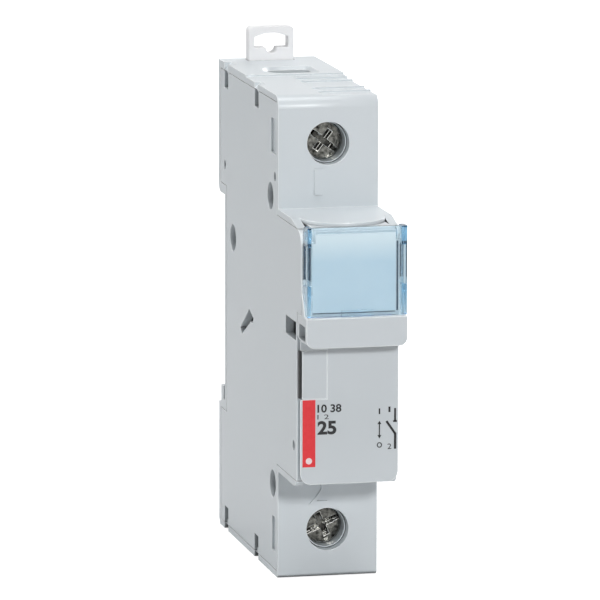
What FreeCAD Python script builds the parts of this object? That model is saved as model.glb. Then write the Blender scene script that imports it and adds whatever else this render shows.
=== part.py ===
import FreeCAD, Part
import os
import re

import Sketcher

# A one-pole fuse disconnector, one module wide, with a 35 mm mounting slot in its back.
# Millimetres. X is the width, -Y the front that the user faces, +Z the top.
# The origin is the middle of the mounting slot, on its seat face.

# Driving sizes: name, value, what it is
SIZES = [
    ("link_radius", 5.15, "10.3 mm cartridge size"),
    ("link_half", 19.0, "half of its 38 mm length"),
    ("link_cap", 10.0, "length of each end cap"),
    ("link_waist_step", 0.25, "caps stand out from the waist"),
    ("link_gap", 0.08, "link to its cradle"),
    ("link_room", 0.95, "link to the drawer's inner plates"),
    ("inner_plate", 0.8, "inner side plates of the drawer"),
    ("inner_gap", 0.45, "those plates to the walls"),
    ("wall", 1.5, "side walls and inner walls"),
    ("back_wall", 1.8, "wall at the seat face"),
    ("top_wall", 1.7, "end walls at top and bottom"),
    ("roof_thick", 1.1, "roof over the drawer"),
    ("lug_depth", 5.3, "upper lug behind the seat face"),
    ("lower_lug_depth", 5.0, "lower lug behind the seat face"),
    ("slot_half", 17.5, "half of the 35 mm slot"),
    ("slot_room", 1.2, "room for a 1 mm flange in the slot"),
    ("seat_gap", 1.2, "room above and below the nominal slot"),
    ("hook_bite", 1.2, "how far the fixed hook reaches over the slot"),
    ("hook_thick", 2.0, "thickness of the fixed hook"),
    ("hook_root", 2.1, "top of the lower lug below the slot"),
    ("lug_heel", 0.9, "bevel at the lower lug's outer end"),
    ("rim", 1.2, "border left round the side plate"),
    ("lug_rim", 1.9, "the same border at the lugs"),
    ("plate_gap", 0.1, "joint round the side plate"),
    ("plate_back_gap", 0.3, "the same along its back edge"),
    ("shoulder_round", 2.2, "round at the upper shoulder"),
    ("lower_round", 0.8, "round at the lower shoulder"),
    ("lug_round", 1.8, "round under the upper lug"),
    ("rear_step", 0.3, "rear of the top face above its front"),
    ("rear_step_place", 26.2, "shoulders to that step"),
    ("cage_back", 5.5, "seat face to the clamp cage, clamp open"),
    ("cage_back_thick", 1.5, "pressing wall of the cage"),
    ("wire_room", 10.5, "room for the wire, clamp open"),
    ("bar_thick", 1.5, "contact bar"),
    ("bar_front_room", 7.0, "contact bar to the cage's threaded wall"),
    ("cage_front_thick", 3.0, "threaded wall of the cage"),
    ("cage_travel", 6.4, "stroke of the clamp"),
    ("cage_end_gap", 0.4, "room left at the end of the stroke"),
    ("seat_thick", 0.6, "plate under the screw's head"),
    ("screw_seat_depth", 7.6, "shoulder face to the screw's seat"),
    ("cage_side", 1.2, "side walls of the cage"),
    ("cage_side_room", 1.15, "cage to the side walls"),
    ("cage_half_height", 5.1, "half of the cage's height"),
    ("cage_low_room", 3.85, "cage to the inner wall"),
    ("cage_high_room", 1.6, "cage to the end wall"),
    ("thread_gap", 0.05, "screw to the cage's thread"),
    ("screw_head_radius", 3.3, "head of the M5 screw"),
    ("screw_head_thick", 3.0, "its height"),
    ("screw_head_room", 0.45, "head to its access hole"),
    ("screw_radius", 2.4, "its thread"),
    ("screw_hole_gap", 0.2, "thread to the hole in the seat"),
    ("screw_end_gap", 0.3, "end of the screw to the contact bar"),
    ("screw_play", 0.1, "head to its seat"),
    ("recess_width", 1.0, "arms of the cross recess"),
    ("recess_length", 4.2, "tip to tip of the cross recess"),
    ("recess_depth", 1.6, "depth of the cross recess"),
    ("slot_width", 0.8, "screwdriver slot"),
    ("slot_depth", 0.9, "depth of that slot"),
    ("bar_side_room", 1.0, "contact bar to the cage's side walls"),
    ("bar_inset", 3.7, "end of the link to the leg that reaches the jaw"),
    ("bar_reach", 5.5, "screw's axis to the end of the leg in the clamp"),
    ("bar_gap", 0.1, "bar to the slots that hold it"),
    ("bar_bend", 1.0, "inner radius of its bend"),
    ("entry_left", 3.9, "wire entry, left of the middle"),
    ("entry_right", 4.3, "right of the middle"),
    ("entry_front", 15.9, "its front edge"),
    ("entry_back", 8.1, "its back edge"),
    ("entry_left_round", 3.2, "its left corners"),
    ("entry_right_round", 0.8, "its right corners"),
    ("entry_lead", 0.6, "bevel that leads the wire in"),
    ("chamber_offset", 3.0, "shoulders to the back of the drawer's chamber"),
    ("jaw_stand", 3.5, "back of that chamber to the jaw's base"),
    ("jaw_base_gap", 0.35, "jaw's base to the link"),
    ("jaw_inset", 0.2, "jaw behind the end of the link"),
    ("jaw_thick", 0.8, "copper of the jaw"),
    ("jaw_arm", 1.5, "link's axis to the flare of its arms"),
    ("jaw_lip", 1.5, "length of the flare"),
    ("jaw_flare", 0.6, "how far the lips stand out"),
    ("jaw_gap", 0.05, "jaw to the link's cap"),
    ("spring_thick", 0.4, "steel clip round the jaw"),
    ("spring_inset", 0.6, "inner end of the jaw to the clip"),
    ("spring_bar_gap", 0.95, "clip to the contact bar's leg"),
    ("spring_arm", 0.5, "link's axis to the front of the clip's arms"),
    ("nose_cover", 3.6, "link to the front of the side walls"),
    ("nose_step", 3.15, "walls beside the label stand further out"),
    ("nose_step_gap", 0.1, "top of the handle to that step"),
    ("nose_slope_drop", 1.74, "fall of the slope at the walls' front"),
    ("nose_round", 2.8, "round at the walls' upper front corner"),
    ("tongue_over", 0.1, "round tongue of the roof, past the walls' inner faces"),
    ("tongue_inset", 0.45, "tongue behind the walls' front"),
    ("tongue_gap", 0.25, "tongue to the drawer beside it"),
    ("crescent_drop", 0.6, "drawer beside the tongue, below the roof's top"),
    ("panel_inset", 0.25, "drawer's front narrower than the side faces"),
    ("panel_thick", 1.5, "drawer's front"),
    ("panel_gap", 0.15, "drawer to the walls behind it"),
    ("panel_lift", 0.8, "lower edge of the drawer above the nose's"),
    ("panel_round", 1.9, "its lower corners"),
    ("panel_heel", 1.1, "bevel at its lower inner edge"),
    ("handle_inset", 0.05, "handle narrower than the side faces"),
    ("handle_bottom", 2.0, "underside of the handle"),
    ("handle_height", 5.1, "height of the handle"),
    ("handle_round", 1.4, "its lower corners"),
    ("handle_wall", 1.3, "walls of the hollow handle"),
    ("handle_slot_rim", 1.16, "finger slot in the handle's sides, to their front"),
    ("handle_slot_root", 1.1, "the same slot to the walls behind it"),
    ("handle_slot_foot", 0.9, "the same slot to the handle's underside"),
    ("handle_slot_head", 1.6, "the same slot to the handle's top"),
    ("cheek_thick", 1.1, "handle's cheeks beside the label plate"),
    ("cheek_rise", 3.9, "top of the cheeks above the handle"),
    ("cheek_gap", 0.35, "cheeks to the cover"),
    ("tray_thick", 2.25, "plate behind the label"),
    ("tray_drop", 0.8, "its upper edge below the nose's top"),
    ("inner_reach", 1.35, "link to the back edge of the inner plates"),
    ("pivot_below", 1.9, "end of the link to the drawer's pivot"),
    ("pivot_round", 2.5, "walls' round about the pivot"),
    ("barrel_radius", 2.2, "drawer's barrel round the pivot"),
    ("barrel_gap", 0.2, "its ends to the walls"),
    ("barrel_room", 0.45, "barrel to the nose's underside"),
    ("barrel_web", 0.7, "web that joins it to the panel, below the axis"),
    ("trunnion_radius", 1.0, "pivot journals"),
    ("trunnion_length", 1.1, "journal past the barrel"),
    ("trunnion_gap", 0.05, "journal to its bearing"),
    ("stop_thick", 1.2, "drawer's stops above and below the link"),
    ("stop_step", 0.9, "raised front part of the upper stop"),
    ("stop_room", 0.42, "upper stop to the roof"),
    ("stop_reach", 2.0, "link's axis to the stops' back edge"),
    ("stop_inset", 0.65, "lower stop narrower than the link"),
    ("cradle_reach", 2.2, "link's axis to the cradle's back edge"),
    ("cradle_jaw_gap", 0.6, "cradle to the lower jaw"),
    ("saddle_thick", 0.8, "upper cradle"),
    ("saddle_jaw_gap", 2.4, "upper cradle to the upper jaw"),
    ("saddle_window_gap", 1.3, "upper cradle to the window"),
    ("cradle_window_gap", 0.8, "lower cradle to the window"),
    ("window_height", 3.2, "window in the side walls"),
    ("window_length", 8.1, "its length"),
    ("window_rim", 0.75, "window to the walls' front"),
    ("window_margin", 0.3, "windows inside it are this much larger"),
    ("cover_inset", 0.12, "label cover narrower than the handle"),
    ("cover_foot", 0.25, "its lower edge above the handle"),
    ("cover_wall", 0.9, "its front wall"),
    ("cover_side", 0.8, "its side walls"),
    ("cover_ear_radius", 1.5, "its round corners about the hinge"),
    ("cover_axis_back", 0.4, "its hinge behind the label plate's front"),
    ("cover_pin_radius", 0.8, "its hinge pins"),
    ("cover_pin_length", 0.75, "length of the pins"),
    ("cover_pin_gap", 0.05, "pins to their holes"),
    ("ear_radius", 1.15, "ears that hold the pins"),
    ("ear_thick", 0.6, "thickness of the ears"),
    ("cover_window_edge", 0.5, "slot in the cover's sides to their edges"),
    ("cover_window_foot", 1.5, "cheeks to the slot's lower end"),
    ("cover_window_head", 1.9, "hinge to the slot's upper end"),
    ("cover_tab_half", 2.8, "half of the fingernail tab"),
    ("cover_tab_height", 1.15, "height of the tab"),
    ("cover_tab_reach", 0.35, "how far the tab stands out"),
    ("card_thick", 0.3, "thickness of the label card"),
    ("card_room", 0.5, "card to the cover"),
    ("card_margin", 0.75, "card to the sides of the label plate"),
    ("card_foot", 0.8, "card above the handle"),
    ("card_head", 0.5, "card to the upper edge of the label plate"),
    ("blank_width", 4.3, "indicator blank"),
    ("blank_height", 8.38, "its height"),
    ("blank_margin", 0.33, "blank to the side of the panel"),
    ("blank_head", 1.3, "blank to the handle"),
    ("blank_thick", 1.0, "its thickness"),
    ("blank_gap", 0.07, "blank to its recess"),
    ("blank_side_slot", 1.2, "finger slot beside the blank"),
    ("clip_half", 4.1, "half of the mounting clip's width"),
    ("clip_thick", 2.8, "its thickness"),
    ("clip_round", 0.8, "its upper corners"),
    ("clip_gap", 0.12, "clip to its channel"),
    ("clip_bite", 1.0, "how far the clip reaches over the slot"),
    ("clip_rise", 6.4, "upper end of the clip above the top face"),
    ("clip_travel", 4.0, "stroke that opens the slot"),
    ("clip_notch", 0.8, "depth of the notch for the stop"),
    ("stop_nub_place", 7.3, "lug's lower face to the stop in the channel"),
    ("stop_nub_height", 1.5, "height of that stop"),
    ("clip_eye_half", 3.1, "half of the eye for the screwdriver"),
    ("clip_eye_flat", 1.0, "half of its flat upper part"),
    ("clip_eye_head", 1.9, "end of the clip to the eye"),
    ("clip_eye_height", 1.9, "height of the eye at its ends"),
    ("clip_eye_rise", 0.7, "rise of its upper edge in the middle"),
    ("clip_eye_notch", 1.0, "notch in the eye's lower edge"),
    ("snap_width", 3.2, "side plate's snap slots"),
    ("snap_height", 3.0, "their height"),
    ("snap_front_depth", 28.1, "front slots behind the front"),
    ("snap_back_depth", 2.9, "back slots"),
    ("snap_nose", 0.45, "snap noses in the slots"),
    ("snap_bevel", 1.2, "bevels above the snap noses"),
    ("mark_depth", 0.5, "shallow recesses"),
    ("field_depth", 0.35, "ribbed fields on the end faces"),
    ("field_left", 0.7, "their left edge"),
    ("field_rim", 1.0, "shoulders to the first field"),
    ("field_rib_width", 0.45, "ribs between the fields"),
    ("first_rib", 5.9, "shoulders to the first rib"),
    ("second_rib", 10.6, "to the second"),
    ("third_rib", 19.5, "to the third"),
    ("fourth_rib", 23.7, "to the fourth"),
    ("field_length", 25.2, "to the end of the last field"),
    ("rivet_radius", 2.4, "round rivet holes in the side plate"),
    ("rivet_wall", 0.8, "wall round them in the housing"),
    ("rivet_depth", 5.0, "their depth in the housing"),
    ("upper_rivet_offset", 6.3, "shoulders to the upper one"),
    ("upper_rivet_rise", 1.45, "nose's top to the upper one"),
    ("middle_rivet_depth", 7.0, "seat face to the middle one"),
    ("middle_rivet_height", 12.0, "its height"),
    ("lower_rivet_offset", 4.2, "shoulders to the lower one"),
    ("lower_rivet_drop", 2.8, "nose's underside to the lower one"),
    ("pin_radius", 0.85, "small holes in the side plate"),
    ("pin_depth", 2.0, "their depth in the housing"),
    ("front_pin_offset", 2.8, "shoulders to the upper front one"),
    ("front_pin_rise", 5.3, "nose's top to it"),
    ("back_pin_rise", 5.5, "lug's lower face to the back one"),
    ("back_pin_depth", 0.1, "seat face to it"),
    ("nose_pin_rise", 4.55, "pivot to the one in the nose"),
    ("vent_front", 24.0, "curved vent in the side plate, its front end"),
    ("vent_front_height", 0.2, "height of that end"),
    ("vent_top", 1.35, "its highest point"),
    ("vent_top_depth", 20.46, "seat face to that point"),
    ("vent_back", 13.1, "its back end"),
    ("vent_back_drop", 3.16, "that end below the middle"),
    ("vent_foot_depth", 14.55, "seat face to its lowest point"),
    ("vent_foot_drop", 4.09, "that point below the middle"),
    ("vent_inner_depth", 21.87, "seat face to its inner corner"),
    ("vent_inner_drop", 0.65, "that corner below the middle"),
    ("vent_corner_depth", 23.1, "seat face to its front lower corner"),
    ("vent_corner_drop", 0.84, "that corner below the middle"),
    ("flat_height", 6.1, "flat recesses near the shoulders"),
    ("flat_end", 4.3, "end faces to them"),
    ("upper_flat_rim", 1.7, "shoulders to the upper one"),
    ("upper_flat_width", 4.1, "its width"),
    ("lower_flat_rim", 2.2, "shoulders to the lower one"),
    ("lower_flat_width", 2.5, "its width"),
]
NAMES = {name for name, number, note in SIZES}

# Places that follow from the sizes: across the part, outwards from the middle
PLACES = {
    "inner_half": "link_radius + link_room + inner_plate",
    "inside_half": "inner_half + inner_gap",
    "half_width": "inside_half + wall",
    "panel_half": "half_width - panel_inset",
    "handle_half": "half_width - handle_inset",
    "tray_half": "handle_half - cheek_thick",
    "cover_half": "handle_half - cover_inset",
    "card_half": "tray_half - card_margin",
    "barrel_half": "inside_half - barrel_gap",
    "blank_left": "panel_half - blank_margin",
    "blank_right": "blank_left - blank_width",
    "cage_half": "inside_half - cage_side_room",
    "bar_half": "cage_half - cage_side - bar_side_room",
    "tongue_radius": "inside_half + tongue_over",
    "lower_stop_half": "link_radius - stop_inset",
    "link_waist": "link_radius - link_waist_step",
    "screw_bore_radius": "screw_head_radius + screw_head_room",
    "screw_hole_radius": "screw_radius + screw_hole_gap",
    "bearing_radius": "trunnion_radius + trunnion_gap",
    "bearing_end": "barrel_half + trunnion_length + trunnion_gap",
}

# From the seat face to the front
PLACES.update({
    "bar_front": "cage_back + cage_back_thick + wire_room + bar_thick",
    "cage_front": "bar_front + bar_front_room + cage_front_thick",
    "terminal_front": "cage_front + cage_travel + cage_end_gap",
    "screw_seat": "terminal_front + seat_thick",
    "shoulder_depth": "screw_seat + screw_seat_depth",
    "chamber_back": "shoulder_depth - chamber_offset",
    "jaw_base": "chamber_back + jaw_stand",
    "link_depth": "jaw_base + jaw_base_gap + link_radius",
    "jaw_front": "link_depth + jaw_arm",
    "spring_front": "link_depth + spring_arm",
    "stop_back": "link_depth - stop_reach",
    "cradle_back": "link_depth - cradle_reach",
    "inner_depth": "link_depth + link_radius + inner_reach",
    "nose_step_depth": "link_depth + link_radius + nose_cover",
    "pivot_depth": "nose_step_depth - pivot_round",
    "barrel_front": "pivot_depth - barrel_radius - barrel_room",
    "window_front": "nose_step_depth - window_rim",
    "window_back": "window_front - window_length",
    "panel_back": "nose_step_depth + panel_gap",
    "panel_front": "panel_back + panel_thick",
    "nose_depth": "nose_step_depth + nose_step",
    "nose_slope_depth": "nose_depth - tongue_inset - tongue_radius",
    "tray_back": "nose_depth + panel_gap",
    "tray_front": "tray_back + tray_thick",
    "cover_back": "tray_front + card_thick + card_room",
    "handle_front": "cover_back + cover_wall",
    "cover_axis_depth": "tray_front - cover_axis_back",
    "cover_side_back": "cover_axis_depth - cover_ear_radius",
    "handle_slot_front": "handle_front - handle_slot_rim",
    "handle_slot_back": "nose_step_depth + handle_slot_root",
    "upper_rivet_depth": "shoulder_depth - upper_rivet_offset",
    "lower_rivet_depth": "shoulder_depth - lower_rivet_offset",
    "front_pin_depth": "shoulder_depth - front_pin_offset",
    "clip_front": "slot_room + clip_gap",
    "clip_back": "clip_front + clip_thick",
    "rear_top_edge": "shoulder_depth - rear_step_place",
    "past_front": "handle_front + wall",
    "past_back": "lug_depth + wall",
})

# From the middle to the top, and to the bottom
PLACES.update({
    "seat_half": "slot_half + seat_gap",
    "link_end": "link_half + link_gap",
    "stop_top": "link_end + stop_thick",
    "crescent_foot": "stop_top + stop_step",
    "nose_top": "crescent_foot + stop_room + roof_thick",
    "middle_wall": "nose_top + wall / 2",
    "pivot_drop": "link_half + pivot_below",
    "nose_bottom": "pivot_drop + pivot_round",
    "panel_bottom": "nose_bottom - panel_lift",
    "terminal_height": "middle_wall + wall + cage_low_room + cage_half_height",
    "half_height": "terminal_height + cage_half_height + cage_high_room + top_wall",
    "top_level": "half_height + rear_step",
    "past_end": "top_level + wall",
    "bar_top": "terminal_height + bar_reach",
    "bar_level": "link_half - bar_inset",
    "bar_low": "bar_level - bar_thick / 2",
    "bar_high": "bar_level + bar_thick / 2",
    "jaw_low": "link_half - link_cap",
    "jaw_high": "link_half - jaw_inset",
    "spring_low": "jaw_low + spring_inset",
    "spring_high": "bar_low - spring_bar_gap",
    "cradle_low": "jaw_low - cradle_jaw_gap",
    "cradle_high": "jaw_low - saddle_jaw_gap",
    "saddle_low": "cradle_high - saddle_thick",
    "window_high": "cradle_high - saddle_window_gap",
    "window_low": "window_high - window_height",
    "cradle_mid": "window_low - cradle_window_gap",
    "handle_top": "handle_bottom + handle_height",
    "nose_step_height": "handle_top + nose_step_gap",
    "cheek_height": "handle_top + cheek_rise",
    "handle_slot_low": "handle_bottom + handle_slot_foot",
    "handle_slot_high": "handle_top - handle_slot_head",
    "tray_top": "nose_top - tray_drop",
    "cover_top": "nose_top",
    "cover_bottom": "handle_top + cover_foot",
    "cover_axis_height": "cover_top - cover_ear_radius",
    "cover_window_low": "cheek_height + cover_window_foot",
    "cover_window_high": "cover_axis_height - cover_window_head",
    "card_low": "handle_top + card_foot",
    "card_high": "tray_top - card_head",
    "blank_high": "handle_bottom - blank_head",
    "blank_low": "blank_height - blank_high",
    "clip_top": "half_height + clip_rise",
    "clip_eye_high": "clip_top - clip_eye_head",
    "clip_eye_low": "clip_eye_high - clip_eye_height",
    "stop_nub_low": "seat_half + stop_nub_place",
    "stop_nub_high": "stop_nub_low + stop_nub_height",
    "snap_high": "half_height - rim",
    "snap_low": "snap_high - snap_height",
    "upper_rivet_height": "nose_top + upper_rivet_rise",
    "lower_rivet_level": "nose_bottom + lower_rivet_drop",
    "front_pin_height": "nose_top + front_pin_rise",
    "back_pin_height": "seat_half + back_pin_rise",
    "nose_pin_drop": "pivot_drop - nose_pin_rise",
    "flat_high": "half_height - flat_end",
    "flat_low": "flat_high - flat_height",
})
ENDS = (("upper", 1), ("lower", -1))

doc = FreeCAD.newDocument("fuse_disconnector")
sheet = doc.addObject("Spreadsheet::Sheet", "sizes")
for row, (name, number, note) in enumerate(SIZES, start=1):
    sheet.set(f"A{row}", name)
    sheet.set(f"B{row}", str(number))
    sheet.set(f"C{row}", note)
    sheet.setAlias(f"B{row}", name)
doc.recompute()


def full(text):
    """The expression with places written out and the sheet's name before each size."""
    def spell(word):
        if word[0] in PLACES:
            return f"({full(PLACES[word[0]])})"
        return "sizes." + word[0] if word[0] in NAMES else word[0]
    return re.sub(r"[a-z_]+", spell, text)


def value(text):
    return float(sheet.evalExpression(full(text)))


def bind(thing, field, text):
    thing.setExpression(field, full(text))


def box(low_u, high_u, low_v, high_v):
    """The corners of a rectangle."""
    return [(low_u, low_v), (high_u, low_v), (high_u, high_v), (low_u, high_v)]


def new_body(label):
    body = doc.addObject("PartDesign::Body", label)
    body.Label = label
    return body


def draw(body, name, plane, level, polygons, circles):
    """A sketch parallel to one of the body's planes, every corner bound to the sheet."""
    sketch = body.newObject("Sketcher::SketchObject", name)
    support = [item for item in body.Origin.OriginFeatures if item.Role == plane + "_Plane"]
    sketch.AttachmentSupport = (support[0], [""])
    sketch.MapMode = "FlatFace"
    facing = "-1" if plane == "XZ" else "1"
    bind(sketch, "AttachmentOffset.Base.z", f"{facing} * ({level})")
    for corners in polygons:
        points = [FreeCAD.Vector(value(u), value(v), 0) for u, v in corners]
        first = sketch.GeometryCount
        for index, start in enumerate(points):
            end = points[(index + 1) % len(points)]
            sketch.addGeometry(Part.LineSegment(start, end), False)
        for index, (u, v) in enumerate(corners):
            line = first + index
            after = first + (index + 1) % len(points)
            sketch.addConstraint(Sketcher.Constraint("Coincident", line, 2, after, 1))
            place_point(sketch, line, 1, u, v)
    for u, v, radius in circles:
        centre = FreeCAD.Vector(value(u), value(v), 0)
        shape = Part.Circle(centre, FreeCAD.Vector(0, 0, 1), value(radius))
        circle = sketch.addGeometry(shape, False)
        place_point(sketch, circle, 3, u, v)
        rule = sketch.addConstraint(Sketcher.Constraint("Radius", circle, value(radius)))
        bind(sketch, f"Constraints[{rule}]", radius)
    return sketch


def place_point(sketch, geometry, point, u, v):
    """Holds a point of the sketch at two expressions from its origin."""
    for kind, text in (("DistanceX", u), ("DistanceY", v)):
        rule = sketch.addConstraint(Sketcher.Constraint(kind, -1, 1, geometry, point, value(text)))
        bind(sketch, f"Constraints[{rule}]", text)


def settle(body, feature):
    """Makes the feature the body's last one, and stops if it can't be made."""
    body.Tip = feature
    doc.recompute()
    if "Invalid" in feature.State or feature.Shape.isNull():
        raise RuntimeError(feature.Name + " can't be made")


def add(body, name, plane, low, high, polygons=(), circles=()):
    """Adds material between two levels along the plane's axis."""
    level = high if plane == "XZ" else low
    pad = body.newObject("PartDesign::Pad", name)
    pad.Profile = draw(body, name + "_sketch", plane, level, polygons, circles)
    bind(pad, "Length", f"({high}) - ({low})")
    settle(body, pad)


def cut(body, name, plane, low, high, polygons=(), circles=()):
    """Takes material away between two levels, and makes sure that some went."""
    before = body.Shape.Volume
    level = low if plane == "XZ" else high
    pocket = body.newObject("PartDesign::Pocket", name)
    pocket.Profile = draw(body, name + "_sketch", plane, level, polygons, circles)
    bind(pocket, "Length", f"({high}) - ({low})")
    settle(body, pocket)
    if body.Shape.Volume >= before:
        raise RuntimeError(name + " cuts nothing")


def edges_along(shape, axis, places):
    """Names of the straight edges along an axis that pass through the given places."""
    across = [number for number in range(3) if number != "XYZ".index(axis)]
    found = []
    for number, edge in enumerate(shape.Edges, start=1):
        ends = [vertex.Point for vertex in edge.Vertexes]
        if len(ends) != 2 or edge.Curve.TypeId != "Part::GeomLine":
            continue
        for place in places:
            goal = [value(text) for text in place]
            if all(abs(end[a] - g) < 0.01 for end in ends for a, g in zip(across, goal)):
                found.append(f"Edge{number}")
    return found


def edges_around(shape, level, corners):
    """Names of the edges in the plane at a height, between two opposite corners."""
    height = value(level)
    lows = [value(text) for text in corners[0]]
    highs = [value(text) for text in corners[1]]
    found = []
    for number, edge in enumerate(shape.Edges, start=1):
        ends = edge.BoundBox
        flat = max(abs(ends.ZMin - height), abs(ends.ZMax - height)) < 0.01
        wide = ends.XMin > lows[0] - 0.01 and ends.XMax < highs[0] + 0.01
        deep = ends.YMin > lows[1] - 0.01 and ends.YMax < highs[1] + 0.01
        if flat and wide and deep:
            found.append(f"Edge{number}")
    return found


def dress(body, name, kind, radius, names):
    """Rounds or bevels the named edges of the body's last feature."""
    if not names:
        raise RuntimeError(name + " finds no edge")
    base = body.Tip
    feature = body.newObject("PartDesign::" + kind, name)
    feature.Base = (base, names)
    bind(feature, "Radius" if kind == "Fillet" else "Size", radius)
    settle(body, feature)


def soften(body, name, radius, axis, places, kind="Fillet"):
    """Rounds or bevels the edges along an axis at the given places."""
    dress(body, name, kind, radius, edges_along(body.Tip.Shape, axis, places))


def span(side, low, high):
    """Two levels on the upper side, or their mirror image below."""
    if side > 0:
        return low, high
    return f"-({high})", f"-({low})"


def both_sides(low, high):
    """The same two levels on the right and, mirrored, on the left."""
    return (("right", low, high), ("left", f"-({high})", f"-({low})"))


# Axes that several pieces share, in Y and Z
PIVOT = ("-pivot_depth", "-pivot_drop")
COVER_AXIS = ("-cover_axis_depth", "cover_axis_height")


def outline():
    """The housing seen from the side, in Y and Z."""
    return [
        ("-shoulder_depth", "half_height"),
        ("lug_depth", "half_height"),
        ("lug_depth", "seat_half"),
        ("0", "seat_half"),
        ("0", "-seat_half"),
        ("slot_room", "-seat_half"),
        ("slot_room", "-(slot_half - hook_bite)"),
        ("slot_room + hook_thick", "-(slot_half - hook_bite)"),
        ("slot_room + hook_thick", "-(slot_half + hook_root)"),
        ("lower_lug_depth", "-(slot_half + hook_root)"),
        ("lower_lug_depth", "-half_height"),
        ("-shoulder_depth", "-half_height"),
        ("-shoulder_depth", "-nose_bottom"),
        ("-nose_step_depth", "-nose_bottom"),
        ("-nose_step_depth", "nose_step_height"),
        ("-nose_depth", "nose_step_height"),
        ("-nose_depth", "nose_top - nose_slope_drop"),
        ("-nose_slope_depth", "nose_top"),
        ("-shoulder_depth", "nose_top"),
    ]


def plate_region(grow, back_grow):
    """What the side plate covers, running out past the nose, in Y and Z."""
    front = f"-(shoulder_depth - rim) - {grow}"
    upper_back = f"lug_depth - lug_rim + {back_grow}"
    lower_back = f"lower_lug_depth - lug_rim + {back_grow}"
    seat = f"-wall + {back_grow}"
    lug = f"seat_half + lug_rim - {grow}"
    end = f"half_height - rim + {grow}"
    return [
        (front, end),
        (upper_back, end),
        (upper_back, lug),
        (seat, lug),
        (seat, f"-({lug})"),
        (lower_back, f"-({lug})"),
        (lower_back, f"-({end})"),
        (front, f"-({end})"),
        (front, f"-(nose_bottom - rim + {grow})"),
        ("-(nose_depth + wall)", f"-(nose_bottom - rim + {grow})"),
        ("-(nose_depth + wall)", f"nose_top - rim + {grow}"),
        (front, f"nose_top - rim + {grow}"),
    ]


def shape_nose(body):
    """The rounds that the housing and its side plate have in common."""
    soften(body, body.Label + "_pivot_round", "pivot_round", "X", [("-nose_step_depth", "-nose_bottom")])
    place = ("-nose_depth", "nose_top - nose_slope_drop")
    soften(body, body.Label + "_nose_round", "nose_round", "X", [place])


def snap_slots(low, high, inset):
    """Boxes in Y and Z at the four snaps of the side plate."""
    slots = []
    for end, side in ENDS:
        for depth in ("snap_front_depth", "snap_back_depth"):
            below, above = span(side, low, high)
            slots.append(box(f"-{depth} + {inset}", f"-{depth} + snap_width - {inset}", below, above))
    return slots


def rivet_holes(radius):
    """Circles in Y and Z at the three round holes of the side plate."""
    return [
        ("-upper_rivet_depth", "upper_rivet_height", radius),
        ("-middle_rivet_depth", "middle_rivet_height", radius),
        ("-lower_rivet_depth", "-lower_rivet_level", radius),
    ]


# Small holes over solid parts of the housing, in Y and Z
PIN_HOLES = [
    ("-front_pin_depth", "front_pin_height", "pin_radius"),
    ("-back_pin_depth", "back_pin_height", "pin_radius"),
]


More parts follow.
